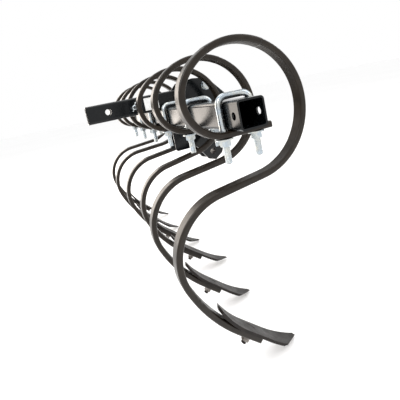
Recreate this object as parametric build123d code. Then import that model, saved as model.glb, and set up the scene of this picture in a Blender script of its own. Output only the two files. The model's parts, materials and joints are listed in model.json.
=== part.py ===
from build123d import *
import math
import os

os.makedirs("parts", exist_ok=True)

# Tow-behind spring tine toolbar. Millimetres. +X points forward, towards the towing machine,
# +Y runs along the toolbar to its left end, +Z is up.
# Pieces are drawn about the middle of the toolbar, and saved about the lower hitch pivot.

# Square toolbar and the square drawbar that lies across its top
TUBE = 50.8
WALL = 3.4
TUBE_CORNER = 6.5
BAR_LENGTH = 1004.0
BAR_PIN_HOLE_R = 6.9
BAR_PIN_HOLE_INSET = 17.5
DRAWBAR_REAR_X = -228.0
DRAWBAR_FRONT_X = 116.0
DRAWBAR_LAP = 4.8
DRAWBAR_Z = TUBE - DRAWBAR_LAP
DRAWBAR_PIN_X = -170.0
DRAWBAR_PIN_R = 8.75
LOCK_PIN_X = -100.0
LOCK_PIN_Z = 44.0
LOCK_PIN_R = 6.35
LABEL_LENGTH = 42.0
LABEL_HEIGHT = 36.0
LABEL_THICK = 0.4
LABEL_X = -46.0

# Hitch plates on both sides of the drawbar
PLATE = 6.35
PLATE_Y = TUBE / 2
PIVOT_X = 113.0
PIVOT_Z = -140.0
PIVOT_R = 9.65
PIVOT_TUBE_R = 16.0
HITCH_BOLT_X = 130.0
HITCH_BOLT_Z = 68.0
HITCH_BOLT_R = 7.94
HITCH_NUT_FLATS = 23.8
HITCH_WASHER_R = 14.5
HITCH_SPACER_R = 12.7

# Spring tines
TINES = 6
PITCH = 179.0
TINE_WIDTH = 25.4
TINE_THICK = 12.0
TINE_ROUND = 3.5
SEAT_GAP = 0.2
CLAMP_FRONT_X = 60.2
CLAMP_REAR_X = -28.0
LOOP_X = 15.0
LOOP_R = 123.0
RISE_R = 68.5
LOOP_EXIT_HEADING = -174.1
UNDER_LENGTH = 93.5
DROP_R = 105.0
DROP_TURN = 104.05
TAIL_R = 308.5
TAIL_TURN = 25.85
SEAT_LENGTH = 51.0
SEAT_BOLT_FROM_END = 27.0
FLEX_GAP = 0.3
# Degrees by which the tail of each tine stands forward of the nominal, from right to left
TINE_SET = (0.0, 0.0, 3.0, 0.3, -2.6, -1.6)

# U-bolts, 12 mm rod. Their bends bear on the corners of the toolbar, so the crown stands a little above it.
ROD_R = 6.0
ROD_X = 31.7
ROD_BEND_R = 15.0
CROWN_GAP = 2.8
ROD_END_Z = -82.3
WASHER_R = 15.5
WASHER_THICK = 2.5
NUT_FLATS = 19.05
NUT_HEIGHT = 11.0

# Shovels: steel blades bolted on the front face of each tine
SHOVEL_WIDTH = 38.1
SHOVEL_THICK = 5.5
SHOVEL_REAR_R = 190.0
SHOVEL_FRONT_R = 300.0
SHOVEL_FLAT_REAR = 16.0
SHOVEL_FLAT_FRONT = 38.0
SHOVEL_REAR_ARC = 78.0
SHOVEL_FRONT_ARC = 100.0
SHOVEL_PLAN = [
    (-85.0, -SHOVEL_WIDTH / 2),
    (82.0, -SHOVEL_WIDTH / 2),
    (124.0, 13.0),
    (121.0, SHOVEL_WIDTH / 2),
    (-77.0, SHOVEL_WIDTH / 2),
    (-89.0, -3.0),
]
SHOVEL_GRIND = 4.0
SHOVEL_BOLT_R = 4.76
SHOVEL_HEAD_R = 9.5
SHOVEL_NUT_FLATS = 14.3
SHOVEL_NUT_HEIGHT = 8.3

# The clamp flat touches the underside of the toolbar, and the loop runs round the toolbar
CLAMP_Z = -TUBE / 2 - SEAT_GAP - TINE_THICK / 2
RISE_RISE = ((LOOP_R - RISE_R) ** 2 - (LOOP_X - CLAMP_REAR_X) ** 2) ** 0.5
LOOP_Z = CLAMP_Z + RISE_R - RISE_RISE
RISE_END = 180 - math.degrees(math.asin(RISE_RISE / (LOOP_R - RISE_R)))


def save(name, shape):
    moved = Pos(-PIVOT_X, 0, -PIVOT_Z) * shape
    moved.label = name
    export_step(moved, f"parts/{name}.step")


def direction(heading):
    return Vector(math.cos(math.radians(heading)), 0, math.sin(math.radians(heading)))


def follow(start, heading, steps):
    """Walks a path in the XZ plane. A step is (length, None) or (turn in degrees, radius)."""
    nodes = []
    point = Vector(start[0], 0, start[1])
    for amount, radius in steps:
        if radius is None:
            after = point + direction(heading) * amount
            nodes.append((point, heading, after, heading, None, 0))
            point = after
        else:
            side = 90 if amount > 0 else -90
            centre = point + direction(heading + side) * radius
            after = centre + direction(heading + amount - side) * radius
            nodes.append((point, heading, after, heading + amount, centre, side))
            point = after
            heading = heading + amount
    return nodes


def offset_edge(node, distance, backwards):
    """One edge of a path, moved to its left by distance."""
    point, heading, after, last, centre, side = node
    a = point + direction(heading + 90) * distance
    b = after + direction(last + 90) * distance
    if centre is None:
        return Edge.make_line(b, a) if backwards else Edge.make_line(a, b)
    middle_heading = (heading + last) / 2
    radius = (point - centre).length
    on_path = centre + direction(middle_heading - side) * radius
    middle = on_path + direction(middle_heading + 90) * distance
    if backwards:
        return Edge.make_three_point_arc(b, middle, a)
    return Edge.make_three_point_arc(a, middle, b)


def bent_bar(start, heading, steps, thick, width, rounding):
    """A flat bar bent along a path, centred on the XZ plane."""
    nodes = follow(start, heading, steps)
    half = thick / 2
    edges = [offset_edge(node, half, False) for node in nodes]
    first = nodes[0]
    last = nodes[-1]
    end_left = last[2] + direction(last[3] + 90) * half
    end_right = last[2] - direction(last[3] + 90) * half
    edges.append(Edge.make_line(end_left, end_right))
    edges += [offset_edge(node, -half, True) for node in reversed(nodes)]
    start_left = first[0] + direction(first[1] + 90) * half
    start_right = first[0] - direction(first[1] + 90) * half
    edges.append(Edge.make_line(start_right, start_left))
    bar = extrude(Face(Wire(edges)), width / 2, both=True)
    if rounding:
        sides = [e for e in bar.edges() if abs(abs(e.center().Y) - width / 2) < 0.01]
        sides = [e for e in sides if e.length > 2 * thick]
        bar = fillet(sides, rounding)
    return bar


def along_y(x, z, radius, length, y=0):
    return Pos(x, y, z) * Rot(90, 0, 0) * Cylinder(radius, length)


def nut(flats, height, bore):
    """A hexagon nut standing on z = 0, with its corners turned off at both faces."""
    body = extrude(RegularPolygon(flats / 2, 6, major_radius=False), height)
    corner = flats / 2 / math.cos(math.radians(30))
    turned = Pos(0, 0, height / 2) * Cylinder(corner, height)
    turned = chamfer(turned.edges().filter_by(GeomType.CIRCLE), 1.0, 1.9)
    return (body & turned) - Pos(0, 0, height / 2) * Cylinder(bore, height + 2)


def hex_head(flats, height):
    body = extrude(RegularPolygon(flats / 2, 6, major_radius=False), height)
    corner = flats / 2 / math.cos(math.radians(30))
    turned = Pos(0, 0, height / 2) * Cylinder(corner, height)
    turned = chamfer(turned.edges().group_by(Axis.Z)[-1], 1.0, 1.9)
    return body & turned


def square_tube(length):
    """A square tube along X, centred."""
    outside = RectangleRounded(TUBE, TUBE, TUBE_CORNER)
    inside = RectangleRounded(TUBE - 2 * WALL, TUBE - 2 * WALL, TUBE_CORNER - WALL + 0.6)
    return Rot(0, 90, 0) * extrude(outside - inside, length / 2, both=True)


# Toolbar, with a pin hole through its front and rear walls near each end
toolbar = Rot(0, 0, 90) * square_tube(BAR_LENGTH)
for side in (-1, 1):
    y = side * (BAR_LENGTH / 2 - BAR_PIN_HOLE_INSET)
    toolbar -= Pos(0, y, 0) * Rot(0, 90, 0) * Cylinder(BAR_PIN_HOLE_R, TUBE + 10)
save("toolbar_tube", toolbar)

# Drawbar, notched so that it is let down over the toolbar
drawbar_length = DRAWBAR_FRONT_X - DRAWBAR_REAR_X
drawbar = Pos((DRAWBAR_FRONT_X + DRAWBAR_REAR_X) / 2, 0, DRAWBAR_Z) * square_tube(drawbar_length)
drawbar -= along_y(DRAWBAR_PIN_X, DRAWBAR_Z, DRAWBAR_PIN_R, TUBE + 10)
drawbar -= along_y(LOCK_PIN_X, LOCK_PIN_Z, LOCK_PIN_R + 0.15, TUBE + 10)
drawbar -= Box(TUBE, TUBE + 10, TUBE)
save("drawbar_tube", drawbar)

# Blank label on the right side of the drawbar
label_y = -(TUBE + LABEL_THICK) / 2
label = extrude(RectangleRounded(LABEL_LENGTH, LABEL_HEIGHT, 2.0), LABEL_THICK / 2, both=True)
save("drawbar_label", Pos(LABEL_X, label_y, DRAWBAR_Z) * Rot(90, 0, 0) * label)

# Hitch plates: notched round the front and underside of the toolbar, with the lower pivot hole
# and the upper bolt hole
half = TUBE / 2
outline = [
    (half, half),
    (half, 64),
    (54, 91),
    (90, 96),
    (139, 91),
    (194, 30),
    (194, 2),
    (144, -150),
    (118, -168),
    (94, -160),
    (62, -111),
    (-4, -111),
    (-4, -half),
    (half, -half),
]
plate_face = make_face(Polyline(outline, close=True))
keep_sharp = {(half, half), (-4, -half), (half, -half)}
corners = [v for v in plate_face.vertices() if (round(v.X, 3), round(v.Y, 3)) not in keep_sharp]
plate_face = fillet(corners, 7)
plate_face -= Pos(HITCH_BOLT_X, HITCH_BOLT_Z) * Circle(HITCH_BOLT_R + 0.25)
plate_face -= Pos(PIVOT_X, PIVOT_Z) * Circle(PIVOT_R)
for name, side in (("right", -1), ("left", 1)):
    plate = Rot(90, 0, 0) * extrude(plate_face, PLATE / 2, both=True)
    save(f"hitch_plate_{name}", Pos(0, side * (PLATE_Y + PLATE / 2), 0) * plate)

# Tube welded between the plates at the lower pivot
pivot_tube = along_y(PIVOT_X, PIVOT_Z, PIVOT_TUBE_R, TUBE) - along_y(PIVOT_X, PIVOT_Z, PIVOT_R, TUBE + 2)
save("hitch_pivot_tube", pivot_tube)

# Upper cross bolt through both plates, with a spacer between them, washers and a nut
stack = TUBE + 2 * PLATE
washer_thick = 2.5
spacer = along_y(HITCH_BOLT_X, HITCH_BOLT_Z, HITCH_SPACER_R, TUBE)
spacer -= along_y(HITCH_BOLT_X, HITCH_BOLT_Z, HITCH_BOLT_R + 0.25, TUBE + 2)
save("hitch_spacer", spacer)

bolt_length = stack + 2 * washer_thick + 14
bolt_start = -stack / 2 - washer_thick
bolt = along_y(HITCH_BOLT_X, HITCH_BOLT_Z, HITCH_BOLT_R, bolt_length, bolt_start + bolt_length / 2)
bolt = chamfer(bolt.edges().group_by(Axis.Y)[-1], 1.2)
bolt_place = Pos(HITCH_BOLT_X, bolt_start, HITCH_BOLT_Z)
bolt += bolt_place * Rot(90, 0, 0) * Rot(0, 0, 18) * hex_head(HITCH_NUT_FLATS, 10.0)
save("hitch_bolt", bolt)
nut_place = Pos(HITCH_BOLT_X, stack / 2 + washer_thick, HITCH_BOLT_Z)
save("hitch_nut", nut_place * Rot(-90, 0, 0) * nut(HITCH_NUT_FLATS, 13.0, HITCH_BOLT_R))
hitch_washers = []
for side in (-1, 1):
    y = side * (stack + washer_thick) / 2
    disc = along_y(HITCH_BOLT_X, HITCH_BOLT_Z, HITCH_WASHER_R, washer_thick, y)
    hitch_washers.append(disc - along_y(HITCH_BOLT_X, HITCH_BOLT_Z, HITCH_BOLT_R + 0.25, 10, y))
save("hitch_washers", Compound(children=hitch_washers))

# Lock pin across the drawbar, and the spring clip through its near end
pin_length = TUBE + 28
pin = along_y(LOCK_PIN_X, LOCK_PIN_Z, LOCK_PIN_R, pin_length, -8.0)
pin = chamfer(pin.edges().group_by(Axis.Y)[0], 1.5)
pin += along_y(LOCK_PIN_X, LOCK_PIN_Z, 11.0, 6.0, half + 3.0)
clip_y = -half - 13.0
clip_wire_r = 1.7
clip_lean = 25.0
pin -= Pos(LOCK_PIN_X, clip_y, LOCK_PIN_Z) * Rot(0, clip_lean, 0) * Cylinder(clip_wire_r + 0.2, 30)
save("drawbar_lock_pin", pin)

clip_line = FilletPolyline(
    (0, 0, -12),
    (0, 0, 15),
    (12.0, 0, 15),
    (12.0, 0, 6),
    (8.8, 0, 0),
    (12.5, 0, -9),
    radius=2.6,
)
clip = sweep(Plane(origin=(0, 0, -12), z_dir=(0, 0, 1)) * Circle(clip_wire_r), path=clip_line)
save("drawbar_pin_clip", Pos(LOCK_PIN_X, clip_y, LOCK_PIN_Z) * Rot(0, clip_lean, 0) * clip)

# One tine set, drawn at y = 0. Both halves of a tine meet at the top of its loop.
flex_angle = math.degrees(FLEX_GAP / 2 / LOOP_R)
coil = bent_bar(
    (CLAMP_FRONT_X, CLAMP_Z),
    180,
    [
        (CLAMP_FRONT_X - CLAMP_REAR_X, None),
        (RISE_END - 270, RISE_R),
        (90 + flex_angle - RISE_END, LOOP_R),
    ],
    TINE_THICK,
    TINE_WIDTH,
    TINE_ROUND,
)
for x in (-ROD_X, ROD_X):
    coil -= Pos(x, 0, CLAMP_Z) * Cylinder(ROD_R + 0.5, TINE_THICK + 4)


def tail(loop_set):
    """Shank, shovel, shovel bolt and nut. loop_set opens the loop by that many degrees."""
    top = Vector(LOOP_X, 0, LOOP_Z) + direction(90 - flex_angle) * LOOP_R
    steps = [
        (LOOP_EXIT_HEADING + loop_set + flex_angle, LOOP_R),
        (UNDER_LENGTH, None),
        (DROP_TURN, DROP_R),
        (TAIL_TURN, TAIL_R),
        (SEAT_LENGTH, None),
    ]
    start = (top.X, top.Z)
    shank = bent_bar(start, -flex_angle, steps, TINE_THICK, TINE_WIDTH, TINE_ROUND)
    seat = follow(start, -flex_angle, steps)[-1]
    heading = seat[3]
    along = direction(heading)
    normal = direction(heading + 90)
    bolt_point = seat[2] - along * SEAT_BOLT_FROM_END
    plane = Plane(origin=bolt_point, x_dir=along, z_dir=normal)
    shank -= plane * Cylinder(SHOVEL_BOLT_R + 0.3, TINE_THICK + 6)
    shovel, shovel_bolt, shovel_nut = shovel_set(plane, bolt_point, heading)
    return shank, shovel, shovel_bolt, shovel_nut


def shovel_set(plane, bolt_point, heading):
    """Curved blade, flat where it is bolted to the tine, pointed and ground at both ends."""
    normal = direction(heading + 90)
    blade_offset = (TINE_THICK + SHOVEL_THICK) / 2
    rear_turn = math.degrees(SHOVEL_REAR_ARC / SHOVEL_REAR_R)
    front_turn = math.degrees(SHOVEL_FRONT_ARC / SHOVEL_FRONT_R)
    flat_start = bolt_point + normal * blade_offset - direction(heading) * SHOVEL_FLAT_REAR
    rear_centre = flat_start + normal * SHOVEL_REAR_R
    rear_point = rear_centre - direction(heading - rear_turn + 90) * SHOVEL_REAR_R
    steps = [
        (rear_turn, SHOVEL_REAR_R),
        (SHOVEL_FLAT_REAR + SHOVEL_FLAT_FRONT, None),
        (front_turn, SHOVEL_FRONT_R),
    ]
    start = (rear_point.X, rear_point.Z)
    shovel = bent_bar(start, heading - rear_turn, steps, SHOVEL_THICK, SHOVEL_WIDTH, 0)
    shovel &= plane * extrude(make_face(Polyline(SHOVEL_PLAN, close=True)), 80, both=True)
    ends = []
    for edge in shovel.edges():
        spot = plane.to_local_coords(edge.center())
        if abs(spot.X) > 74 and abs(abs(spot.Y) - SHOVEL_WIDTH / 2) > 1.0 and edge.length > 10:
            ends.append((abs(spot.X), spot.Z, edge))
    ground = []
    for reach, lift, edge in ends:
        same_end = [other for other in ends if abs(other[0] - reach) < 3.0]
        if lift < max(other[1] for other in same_end) - 2.0:
            ground.append(edge)
    shovel = chamfer(ground, SHOVEL_GRIND)

    # Countersunk plough bolt, and its nut behind the tine
    face_height = TINE_THICK / 2 + SHOVEL_THICK
    sink = SHOVEL_HEAD_R - SHOVEL_BOLT_R
    sink_z = face_height - sink / 2
    hole_z = face_height - SHOVEL_THICK / 2
    hole = Pos(0, 0, hole_z) * Cylinder(SHOVEL_BOLT_R + 0.3, SHOVEL_THICK + 2)
    shovel -= plane * (Pos(0, 0, sink_z) * Cone(SHOVEL_BOLT_R, SHOVEL_HEAD_R, sink) + hole)
    bolt_end = -TINE_THICK / 2 - SHOVEL_NUT_HEIGHT - 5.0
    rod = Pos(0, 0, (sink_z + bolt_end) / 2) * Cylinder(SHOVEL_BOLT_R, sink_z - bolt_end)
    rod = chamfer(rod.edges().group_by(Axis.Z)[0], 0.8)
    head = Pos(0, 0, sink_z - 0.15) * Cone(SHOVEL_BOLT_R, SHOVEL_HEAD_R - 0.8, sink - 0.6)
    shape = Rot(180, 0, 0) * nut(SHOVEL_NUT_FLATS, SHOVEL_NUT_HEIGHT, SHOVEL_BOLT_R)
    return shovel, plane * (rod + head), plane * Pos(0, 0, -TINE_THICK / 2) * shape


# U-bolt over the toolbar, its legs down through the clamp flat, with washers and nuts below
crown_z = half + CROWN_GAP + ROD_R
rod_line = FilletPolyline(
    (-ROD_X, 0, ROD_END_Z),
    (-ROD_X, 0, crown_z),
    (ROD_X, 0, crown_z),
    (ROD_X, 0, ROD_END_Z),
    radius=ROD_BEND_R,
)
rod_section = Plane(origin=(-ROD_X, 0, ROD_END_Z), z_dir=(0, 0, 1)) * Circle(ROD_R)
u_bolt = sweep(rod_section, path=rod_line)
rod_ends = [e for e in u_bolt.edges() if abs(e.center().Z - ROD_END_Z) < 0.01]
u_bolt = chamfer(rod_ends, 1.2)
under_tine = CLAMP_Z - TINE_THICK / 2
washers = []
clamp_nuts = []
for x in (-ROD_X, ROD_X):
    washer = Cylinder(WASHER_R, WASHER_THICK) - Cylinder(ROD_R + 0.3, WASHER_THICK + 1)
    washers.append(Pos(x, 0, under_tine - WASHER_THICK / 2) * washer)
    clamp_nut = Pos(x, 0, under_tine - WASHER_THICK - NUT_HEIGHT) * nut(NUT_FLATS, NUT_HEIGHT, ROD_R)
    clamp_nuts.append(clamp_nut)

tails = {loop_set: tail(loop_set) for loop_set in sorted(set(TINE_SET))}
for number in range(1, TINES + 1):
    place = Pos(0, (number - (TINES + 1) / 2) * PITCH, 0)
    shank, shovel, shovel_bolt, shovel_nut = tails[TINE_SET[number - 1]]
    save(f"tine_{number}_coil", place * coil)
    save(f"tine_{number}_shank", place * shank)
    save(f"tine_{number}_u_bolt", place * u_bolt)
    save(f"tine_{number}_washers", Compound(children=[place * w for w in washers]))
    save(f"tine_{number}_nuts", Compound(children=[place * n for n in clamp_nuts]))
    save(f"tine_{number}_shovel", place * shovel)
    save(f"tine_{number}_shovel_bolt", place * shovel_bolt)
    save(f"tine_{number}_shovel_nut", place * shovel_nut)
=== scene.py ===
import json
import math

import bmesh
import bpy
from mathutils import Matrix, Vector

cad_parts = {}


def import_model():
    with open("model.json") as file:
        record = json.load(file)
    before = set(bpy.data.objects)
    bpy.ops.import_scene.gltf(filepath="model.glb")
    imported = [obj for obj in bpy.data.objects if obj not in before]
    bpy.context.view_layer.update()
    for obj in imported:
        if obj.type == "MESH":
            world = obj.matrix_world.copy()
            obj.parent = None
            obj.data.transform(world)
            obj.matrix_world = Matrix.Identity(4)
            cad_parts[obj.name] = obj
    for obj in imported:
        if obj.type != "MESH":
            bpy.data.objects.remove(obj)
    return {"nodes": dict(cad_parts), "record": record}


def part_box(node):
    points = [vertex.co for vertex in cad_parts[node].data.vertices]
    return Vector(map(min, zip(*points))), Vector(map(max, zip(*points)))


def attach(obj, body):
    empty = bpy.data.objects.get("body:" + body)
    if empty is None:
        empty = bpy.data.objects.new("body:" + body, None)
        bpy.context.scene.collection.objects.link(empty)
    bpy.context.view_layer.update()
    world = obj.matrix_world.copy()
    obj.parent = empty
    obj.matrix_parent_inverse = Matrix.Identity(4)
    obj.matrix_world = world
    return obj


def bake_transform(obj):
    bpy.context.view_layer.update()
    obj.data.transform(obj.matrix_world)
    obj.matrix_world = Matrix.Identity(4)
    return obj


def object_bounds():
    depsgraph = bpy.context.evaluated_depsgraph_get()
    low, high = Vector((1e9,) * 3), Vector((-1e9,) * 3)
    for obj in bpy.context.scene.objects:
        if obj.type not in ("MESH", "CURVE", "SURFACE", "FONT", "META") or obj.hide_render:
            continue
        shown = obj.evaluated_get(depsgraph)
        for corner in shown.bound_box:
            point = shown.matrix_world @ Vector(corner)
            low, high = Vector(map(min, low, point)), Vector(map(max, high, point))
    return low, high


# Lengths are in metres in the CAD's frame, and angles in radians, unless a name says otherwise.

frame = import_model()
cad_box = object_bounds()
nodes = frame["nodes"]
record = frame["record"]
FLEX = {j["name"]: j for j in record["behaviour"]["joints"] if j["type"] == "hinge"}
TINES = range(1, 7)

# The spring tine's flat bar
BAR_THICK = 0.012
BAR_ROUND = 0.0036

# The piece over the joint at the top of each loop
LOOP_TOP_HALF_ANGLE = math.radians(26)
LOOP_TOP_RINGS = 40
LOOP_TOP_PROUD = 0.0003

# The U-bolt threads: the ridge's half widths are shares of the pitch
THREAD_PITCH = 0.00175
THREAD_HEIGHT = 0.00028
THREAD_SINK = 0.0002
THREAD_ROOT_HALF = 0.42
THREAD_CREST_HALF = 0.08
THREAD_STEPS_PER_TURN = 18
LEG_BARE_END = 0.0016

# Weld beads, with how far each run stops short of the corners
BEAD_RADIUS = 0.0030
SMALL_BEAD_RADIUS = 0.0026
BEAD_SIDES = 10
BEAD_STEP = 0.0016
BEAD_RIPPLE = 0.10
BEAD_END_SHARE = 0.5
PIVOT_BEAD_STEPS = 60
DRAWBAR_WELD_INSET = 0.004
DRAWBAR_WELD_FRONT_INSET = 0.001
PLATE_WELD_INSET = 0.005
NOSE_WELD_START = 0.002
NOSE_WELD_END = 0.036

# The camera's aim, its place from the toolbar's middle and the nearest tine, and its lens
YAW, PITCH, ROLL = 0.376, 0.135, -0.201
EYE_BEHIND = 0.2552
EYE_RIGHT = 0.4842
EYE_ABOVE = 0.048
SENSOR_MM = 36
LENS_MM = 28.03
SHIFT_X, SHIFT_Y = -0.0153, -0.1633

# Lamps: name, place from the part's middle, size, watts
LAMPS = (
    ("key", (-1.6, -1.2, 1.9), (1.6, 1.2), 34),
    ("fill", (1.7, -0.9, 1.3), (1.4, 1.4), 16),
    ("top", (0.0, 0.0, 2.2), (1.2, 2.4), 22),
)

# The warm panel that shows in the toolbar's rear face, with its heights above the floor
PANEL_BEHIND = 1.15
PANEL_LEFT = 2.3
PANEL_HEIGHT = 0.92
PANEL_AIM_HEIGHT = 0.75
PANEL_SIZE = (2.6, 1.8)
PANEL_WATTS = 58
PANEL_COLOUR = (1, 0.90, 0.80)

WORLD_STRENGTH = 1.0
FLOOR_SIZE = 60
FLOOR_GAP = 0.001


# ---------------------------------------------------------------- shader nodes

def new_material(name):
    material = bpy.data.materials.new(name)
    material.use_nodes = True
    tree = material.node_tree
    shader = next(n for n in tree.nodes if n.type == "BSDF_PRINCIPLED")
    return material, tree, shader


def noise(tree, scale, detail=4.0, rough=0.55, stretch=None):
    """Noise in object coordinates."""
    coords = tree.nodes.new("ShaderNodeTexCoord").outputs["Object"]
    if stretch:
        mapping = tree.nodes.new("ShaderNodeMapping")
        mapping.inputs["Scale"].default_value = stretch
        tree.links.new(coords, mapping.inputs["Vector"])
        coords = mapping.outputs["Vector"]
    node = tree.nodes.new("ShaderNodeTexNoise")
    node.inputs["Scale"].default_value = scale
    node.inputs["Detail"].default_value = detail
    node.inputs["Roughness"].default_value = rough
    tree.links.new(coords, node.inputs["Vector"])
    return node.outputs["Fac"]


def ramp(tree, value, low, high, out_low=0.0, out_high=1.0):
    """Stretch low..high to out_low..out_high."""
    node = tree.nodes.new("ShaderNodeMapRange")
    node.inputs["From Min"].default_value = low
    node.inputs["From Max"].default_value = high
    node.inputs["To Min"].default_value = out_low
    node.inputs["To Max"].default_value = out_high
    tree.links.new(value, node.inputs["Value"])
    return node.outputs["Result"]


def times(tree, value, factor):
    """A value times a number or another value."""
    node = tree.nodes.new("ShaderNodeMath")
    node.operation = "MULTIPLY"
    tree.links.new(value, node.inputs[0])
    if isinstance(factor, float):
        node.inputs[1].default_value = factor
    else:
        tree.links.new(factor, node.inputs[1])
    return node.outputs["Value"]


def mix(tree, factor, a, b):
    """Colour a where the factor is 0, colour b where it is 1."""
    node = tree.nodes.new("ShaderNodeMix")
    node.data_type = "RGBA"
    tree.links.new(factor, node.inputs["Factor"])
    for socket, value in ((node.inputs[6], a), (node.inputs[7], b)):
        if isinstance(value, tuple):
            socket.default_value = (*value, 1.0)
        else:
            tree.links.new(value, socket)
    return node.outputs[2]


def edges(tree, radius, low, high):
    """1 along the corners of the steel, 0 on its flats."""
    bevel = tree.nodes.new("ShaderNodeBevel")
    bevel.samples = 4
    bevel.inputs["Radius"].default_value = radius
    geometry = tree.nodes.new("ShaderNodeNewGeometry")
    dot = tree.nodes.new("ShaderNodeVectorMath")
    dot.operation = "DOT_PRODUCT"
    tree.links.new(bevel.outputs["Normal"], dot.inputs[0])
    tree.links.new(geometry.outputs["Normal"], dot.inputs[1])
    return ramp(tree, dot.outputs["Value"], high, low)


def gloss(tree, shader, scale, polished, dull, detail=5):
    """Uneven roughness, from polished to dull."""
    rough = ramp(tree, noise(tree, scale, detail, 0.6), 0.3, 0.7, polished, dull)
    tree.links.new(rough, shader.inputs["Roughness"])


def bump(tree, shader, height, distance, strength):
    node = tree.nodes.new("ShaderNodeBump")
    node.inputs["Distance"].default_value = distance
    node.inputs["Strength"].default_value = strength
    tree.links.new(height, node.inputs["Height"])
    tree.links.new(node.outputs["Normal"], shader.inputs["Normal"])


# ---------------------------------------------------------------- materials

def black_paint():
    """Gloss black powder coat: a fine orange peel, faint dust, corners rubbed a little grey."""
    coat, dusty, pale_corner_colour = (0.0018, 0.0026, 0.0032), (0.0055, 0.0062, 0.0066), (0.030, 0.029, 0.028)
    material, tree, shader = new_material("black_powder_coat")
    dust = ramp(tree, noise(tree, 38, 6, 0.65), 0.5, 0.78)
    colour = mix(tree, dust, coat, dusty)
    pale_corner_mask = times(tree, edges(tree, 0.0010, 0.80, 0.97), ramp(tree, noise(tree, 90), 0.45, 0.65))
    colour = mix(tree, times(tree, pale_corner_mask, 0.5), colour, pale_corner_colour)
    tree.links.new(colour, shader.inputs["Base Color"])
    gloss(tree, shader, 16, 0.13, 0.24)
    shader.inputs["Specular IOR Level"].default_value = 0.30
    bump(tree, shader, noise(tree, 620, 2, 0.5), 0.00010, 0.30)
    return material


def spring_steel():
    """Dark oiled spring steel: grey-brown mill scale in patches; corners paler from wear and a
    painted highlight.
    """
    dark, warm = (0.0085, 0.0060, 0.0038), (0.0175, 0.0128, 0.0084)
    # The pale corner colour is partly bare rubbed steel and partly a painted highlight.
    patch, pale_corner_colour = (0.020, 0.0142, 0.0092), (0.085, 0.072, 0.060)
    material, tree, shader = new_material("oiled_spring_steel")
    scale = ramp(tree, noise(tree, 60, 7, 0.65), 0.35, 0.68)
    colour = mix(tree, scale, dark, warm)
    patches = ramp(tree, noise(tree, 9, 3, 0.5), 0.45, 0.70)
    colour = mix(tree, times(tree, patches, 0.6), colour, patch)
    # Corners painted paler: partly rubbed wear, partly a painted highlight along the edges.
    pale_corner_mask = times(tree, edges(tree, 0.0016, 0.84, 0.985), ramp(tree, noise(tree, 70), 0.30, 0.60))
    colour = mix(tree, times(tree, pale_corner_mask, 0.5), colour, pale_corner_colour)
    tree.links.new(colour, shader.inputs["Base Color"])
    gloss(tree, shader, 45, 0.27, 0.40)
    shader.inputs["Specular IOR Level"].default_value = 0.27
    bump(tree, shader, noise(tree, 260, 6, 0.7), 0.00025, 0.4)
    return material


def shovel_steel():
    """Forged shovel blades: dark scale, faint grinding lines, some rust, paler ground corners."""
    dark, pale = (0.0075, 0.0058, 0.0048), (0.0160, 0.0128, 0.0110)
    pale_corner_colour, rusty = (0.080, 0.070, 0.064), (0.035, 0.019, 0.012)
    material, tree, shader = new_material("forged_shovel_steel")
    scale = ramp(tree, noise(tree, 75, 7, 0.68), 0.35, 0.66)
    colour = mix(tree, scale, dark, pale)
    pale_corner_mask = times(tree, edges(tree, 0.0014, 0.82, 0.98), ramp(tree, noise(tree, 55), 0.30, 0.62))
    colour = mix(tree, times(tree, pale_corner_mask, 0.6), colour, pale_corner_colour)
    rust = ramp(tree, noise(tree, 28, 6, 0.7), 0.60, 0.80)
    colour = mix(tree, times(tree, rust, 0.3), colour, rusty)
    tree.links.new(colour, shader.inputs["Base Color"])
    shader.inputs["Specular IOR Level"].default_value = 0.18
    gloss(tree, shader, 50, 0.38, 0.56)
    bump(tree, shader, noise(tree, 300, 5, 0.7, stretch=(0.35, 1.0, 0.35)), 0.0004, 0.5)
    return material


def label_film():
    """Blank pale label, a little yellowed and scuffed."""
    film, scuffed = (0.93, 0.93, 0.91), (0.70, 0.69, 0.66)
    material, tree, shader = new_material("blank_label_film")
    scuff = ramp(tree, noise(tree, 70, 5, 0.6), 0.55, 0.85)
    tree.links.new(mix(tree, scuff, film, scuffed), shader.inputs["Base Color"])
    gloss(tree, shader, 120, 0.34, 0.52, detail=4)
    return material


def zinc():
    """Bright zinc plate with a faint blue and straw tint, and duller blotches."""
    blue, straw, blotch = (0.44, 0.50, 0.55), (0.55, 0.56, 0.53), (0.24, 0.26, 0.28)
    material, tree, shader = new_material("zinc_plate")
    tint = ramp(tree, noise(tree, 85, 3, 0.5), 0.38, 0.66)
    colour = mix(tree, tint, blue, straw)
    dull = ramp(tree, noise(tree, 240, 5, 0.6), 0.55, 0.80)
    colour = mix(tree, times(tree, dull, 0.45), colour, blotch)
    tree.links.new(colour, shader.inputs["Base Color"])
    shader.inputs["Metallic"].default_value = 1.0
    gloss(tree, shader, 160, 0.20, 0.34)
    bump(tree, shader, noise(tree, 500, 4, 0.6), 0.0001, 0.4)
    return material


def dark_fastener():
    """Shovel nuts: dull zinc under soil stain."""
    plate, soil = (0.26, 0.24, 0.22), (0.045, 0.038, 0.033)
    material, tree, shader = new_material("stained_zinc")
    stain = ramp(tree, noise(tree, 120, 5, 0.65), 0.42, 0.64)
    tree.links.new(mix(tree, stain, plate, soil), shader.inputs["Base Color"])
    shader.inputs["Metallic"].default_value = 0.8
    gloss(tree, shader, 130, 0.35, 0.55)
    bump(tree, shader, noise(tree, 400, 5, 0.65), 0.0003, 0.5)
    return material


def dress(names, material):
    for name in names:
        mesh = nodes[name].data
        mesh.materials.clear()
        mesh.materials.append(material)


paint = black_paint()
spring = spring_steel()
forged = shovel_steel()
plated = zinc()
stained = dark_fastener()

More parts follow.
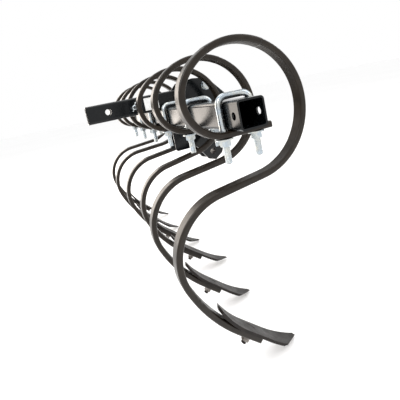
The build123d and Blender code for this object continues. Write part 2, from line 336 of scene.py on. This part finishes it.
dress(["toolbar_tube", "drawbar_tube"], paint)
dress(["hitch_plate_right", "hitch_plate_left", "hitch_pivot_tube"], paint)
dress(["hitch_bolt", "hitch_spacer", "hitch_nut", "hitch_washers"], plated)
dress(["drawbar_lock_pin", "drawbar_pin_clip"], plated)
dress(["drawbar_label"], label_film())
for n in TINES:
    dress([f"tine_{n}_coil", f"tine_{n}_shank"], spring)
    dress([f"tine_{n}_u_bolt", f"tine_{n}_washers", f"tine_{n}_nuts"], plated)
    dress([f"tine_{n}_shovel", f"tine_{n}_shovel_bolt"], forged)
    dress([f"tine_{n}_shovel_nut"], stained)


# ---------------------------------------------------------------- pieces over the CAD ones

def skin(bm, rows, closed=False):
    """Faces between rings of vertices. The two ends are capped unless the rings join up."""
    sides = len(rows[0])
    pairs = list(zip(rows, rows[1:]))
    if closed:
        pairs.append((rows[-1], rows[0]))
    for a, b in pairs:
        for k in range(sides):
            bm.faces.new((a[k], a[(k + 1) % sides], b[(k + 1) % sides], b[k]))
    if not closed:
        bm.faces.new(rows[0])
        bm.faces.new(list(reversed(rows[-1])))


def mesh_object(name, bm, material):
    """A smooth object from the finished bmesh."""
    bmesh.ops.recalc_face_normals(bm, faces=bm.faces)
    mesh = bpy.data.meshes.new(name)
    bm.to_mesh(mesh)
    bm.free()
    for polygon in mesh.polygons:
        polygon.use_smooth = True
    obj = bpy.data.objects.new(name, mesh)
    bpy.context.scene.collection.objects.link(obj)
    mesh.materials.append(material)
    return obj


def rounded_section(width, thick, radius, steps=4):
    """Outline of a rounded rectangle about its middle, anticlockwise."""
    points = []
    for sx, sy, start in ((1, 1, 0), (-1, 1, 90), (-1, -1, 180), (1, -1, 270)):
        for i in range(steps + 1):
            angle = math.radians(start + 90 * i / steps)
            x = sx * (width / 2 - radius) + radius * math.cos(angle)
            y = sy * (thick / 2 - radius) + radius * math.sin(angle)
            points.append((x, y))
    return points


def loop_top(n):
    """The top of tine n's loop, in one length over the joint."""
    joint = FLEX[f"tine_{n}_flex"]
    centre = Vector(joint["pos_m"])
    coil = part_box(f"tine_{n}_coil")
    width = coil[1][1] - coil[0][1]
    middle = coil[1][2] - centre.z - BAR_THICK / 2
    extra = 2 * LOOP_TOP_PROUD
    section = rounded_section(width + extra, BAR_THICK + extra, BAR_ROUND)
    bm = bmesh.new()
    rows = []
    for i in range(LOOP_TOP_RINGS + 1):
        angle = LOOP_TOP_HALF_ANGLE * (2 * i / LOOP_TOP_RINGS - 1)
        out = Vector((math.sin(angle), 0, math.cos(angle)))
        ring = [centre + out * (middle + t) + Vector((0, w, 0)) for w, t in section]
        rows.append([bm.verts.new(point) for point in ring])
    skin(bm, rows)
    piece = mesh_object(f"tine_{n}_loop_top", bm, spring)
    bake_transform(piece)


def helix(bm, base, axis, length, radius):
    """A screw thread's ridge round the axis from base, its feet sunk a little into the rod."""
    across = axis.orthogonal().normalized()
    around = axis.cross(across)
    count = int(length / THREAD_PITCH * THREAD_STEPS_PER_TURN)
    profile = (
        (-THREAD_ROOT_HALF, -THREAD_SINK),
        (-THREAD_CREST_HALF, THREAD_HEIGHT),
        (THREAD_CREST_HALF, THREAD_HEIGHT),
        (THREAD_ROOT_HALF, -THREAD_SINK),
    )
    rows = []
    for i in range(count + 1):
        angle = 2 * math.pi * i / THREAD_STEPS_PER_TURN
        out = across * math.cos(angle) + around * math.sin(angle)
        middle = base + axis * (THREAD_PITCH / 2 + (length - THREAD_PITCH) * i / count)
        row = [middle + axis * (p * THREAD_PITCH) + out * (radius + r) for p, r in profile]
        rows.append([bm.verts.new(point) for point in row])
    skin(bm, rows)


def leg_threads(n):
    """Threads on both legs of tine n's U-bolt, below the nuts."""
    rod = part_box(f"tine_{n}_u_bolt")
    radius = (rod[1][1] - rod[0][1]) / 2
    y = (rod[1][1] + rod[0][1]) / 2
    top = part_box(f"tine_{n}_nuts")[0][2]
    length = top - rod[0][2] - LEG_BARE_END
    bm = bmesh.new()
    for x in (rod[0][0] + radius, rod[1][0] - radius):
        helix(bm, Vector((x, y, top)), Vector((0, 0, -1)), length, radius)
    piece = mesh_object(f"tine_{n}_threads", bm, plated)
    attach(piece, f"tine_{n}_clamp")


def bead(bm, points, radius=BEAD_RADIUS, closed=False):
    """A weld bead along the points, its ripples one point apart."""
    rows = []
    last = len(points) - 1
    for i, point in enumerate(points):
        before = points[i - 1] if i or closed else point
        after = points[(i + 1) % len(points)] if i < last or closed else point
        along = (after - before).normalized()
        across = along.orthogonal().normalized()
        up = along.cross(across)
        swell = radius * (1.0 + (BEAD_RIPPLE if i % 2 else -BEAD_RIPPLE))
        if not closed and i in (0, last):
            swell = radius * BEAD_END_SHARE
        row = []
        for k in range(BEAD_SIDES):
            angle = 2 * math.pi * k / BEAD_SIDES
            out = across * math.cos(angle) + up * math.sin(angle)
            row.append(bm.verts.new(point + out * swell))
        rows.append(row)
    skin(bm, rows, closed)


def run(a, b):
    """Evenly spaced points from a to b, about one bead step apart."""
    a, b = Vector(a), Vector(b)
    count = max(4, int((b - a).length / BEAD_STEP))
    return [a.lerp(b, i / count) for i in range(count + 1)]


def frame_welds():
    """Beads where the drawbar and the hitch plates are welded to the toolbar and to each other."""
    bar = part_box("toolbar_tube")
    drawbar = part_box("drawbar_tube")
    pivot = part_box("hitch_pivot_tube")
    rear, front = bar[0][0], bar[1][0]
    under, top = bar[0][2], bar[1][2]
    right, left, seat = drawbar[0][1], drawbar[1][1], drawbar[0][2]
    bm = bmesh.new()
    drawbar_seat = run(
        (rear, right + DRAWBAR_WELD_INSET, seat),
        (rear, left - DRAWBAR_WELD_INSET, seat),
    )
    bead(bm, drawbar_seat)
    for side, plate in ((0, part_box("hitch_plate_right")), (1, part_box("hitch_plate_left"))):
        inner = drawbar[side][1]
        outer = plate[side][1]
        drawbar_foot = run(
            (rear + DRAWBAR_WELD_INSET, inner, top),
            (front - DRAWBAR_WELD_FRONT_INSET, inner, top),
        )
        bead(bm, drawbar_foot)
        plate_nose = run(
            (front, inner, top + NOSE_WELD_START),
            (front, inner, top + NOSE_WELD_END),
        )
        bead(bm, plate_nose, SMALL_BEAD_RADIUS)
        plate_front = run(
            (front, outer, under + PLATE_WELD_INSET),
            (front, outer, top - PLATE_WELD_INSET),
        )
        bead(bm, plate_front)
        plate_foot = run(
            (plate[0][0] + DRAWBAR_WELD_INSET, outer, under),
            (front - PLATE_WELD_INSET, outer, under),
        )
        bead(bm, plate_foot)
        radius = (pivot[1][2] - pivot[0][2]) / 2
        x, z = pivot[0][0] + radius, pivot[0][2] + radius
        end = pivot[side][1]
        ring = []
        for i in range(PIVOT_BEAD_STEPS):
            angle = 2 * math.pi * i / PIVOT_BEAD_STEPS
            ring.append(Vector((x + radius * math.cos(angle), end, z + radius * math.sin(angle))))
        bead(bm, ring, SMALL_BEAD_RADIUS, closed=True)
    piece = mesh_object("frame_welds", bm, paint)
    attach(piece, "frame")


for n in TINES:
    loop_top(n)
    leg_threads(n)
frame_welds()


# ---------------------------------------------------------------- camera, light and floor

def middle_of(box):
    return [(a + b) / 2 for a, b in zip(*box)]


def camera():
    """Stands behind the toolbar and beyond its right end, a little above it, looking along it."""
    ahead = Vector((math.sin(YAW), math.cos(YAW), 0))
    right = Vector((math.cos(YAW), -math.sin(YAW), 0))
    up = Vector((0, 0, 1))
    look = ahead * math.cos(PITCH) - up * math.sin(PITCH)
    tilted = up * math.cos(PITCH) + ahead * math.sin(PITCH)
    across = right * math.cos(ROLL) + tilted * math.sin(ROLL)
    upward = tilted * math.cos(ROLL) - right * math.sin(ROLL)
    bar_middle = middle_of(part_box("toolbar_tube"))
    near_tine = FLEX["tine_1_flex"]["pos_m"][1]
    place = Vector((bar_middle[0] - EYE_BEHIND, near_tine - EYE_RIGHT, bar_middle[2] + EYE_ABOVE))
    data = bpy.data.cameras.new("camera")
    data.sensor_width = SENSOR_MM
    data.lens = LENS_MM
    data.shift_x = SHIFT_X
    data.shift_y = SHIFT_Y
    data.clip_start = 0.02
    data.clip_end = 100
    eye = bpy.data.objects.new("camera", data)
    bpy.context.scene.collection.objects.link(eye)
    turn = Matrix((across, upward, -look)).transposed().to_4x4()
    eye.matrix_world = Matrix.Translation(place) @ turn
    bpy.context.scene.camera = eye


def area(name, place, target, size, power, colour=(1, 1, 1)):
    data = bpy.data.lights.new(name, "AREA")
    data.shape = "RECTANGLE"
    data.size, data.size_y = size
    data.energy = power
    data.color = colour
    lamp = bpy.data.objects.new(name, data)
    bpy.context.scene.collection.objects.link(lamp)
    lamp.location = place
    lamp.rotation_euler = (Vector(target) - Vector(place)).to_track_quat("-Z", "Y").to_euler()


def world():
    environment = bpy.data.worlds.new("studio")
    environment.use_nodes = True
    back = environment.node_tree.nodes["Background"]
    back.inputs["Color"].default_value = (1, 1, 1, 1)
    back.inputs["Strength"].default_value = WORLD_STRENGTH
    bpy.context.scene.world = environment


def floor():
    """A pale floor, just below the lowest shovel tip."""
    pale, paler = (0.97, 0.97, 0.97), (0.99, 0.99, 0.99)
    low, high = cad_box
    place = ((low[0] + high[0]) / 2, 0, low[2] - FLOOR_GAP)
    bpy.ops.mesh.primitive_plane_add(size=FLOOR_SIZE, location=place)
    plane = bpy.context.object
    plane.name = "studio_floor"
    material, tree, shader = new_material("studio_floor")
    tone = ramp(tree, noise(tree, 0.6, 2, 0.5), 0.3, 0.7)
    tree.links.new(mix(tree, tone, pale, paler), shader.inputs["Base Color"])
    shader.inputs["Roughness"].default_value = 0.9
    plane.data.materials.append(material)


camera()
world()
floor()
middle = middle_of(cad_box)
for name, offset, size, power in LAMPS:
    area(name, [m + o for m, o in zip(middle, offset)], middle, size, power)
floor_z = cad_box[0][2]
panel_place = (middle[0] - PANEL_BEHIND, middle[1] + PANEL_LEFT, floor_z + PANEL_HEIGHT)
panel_target = (middle[0], middle[1], floor_z + PANEL_AIM_HEIGHT)
area("panel", panel_place, panel_target, PANEL_SIZE, PANEL_WATTS, PANEL_COLOUR)
bpy.context.scene.view_settings.view_transform = "Standard"
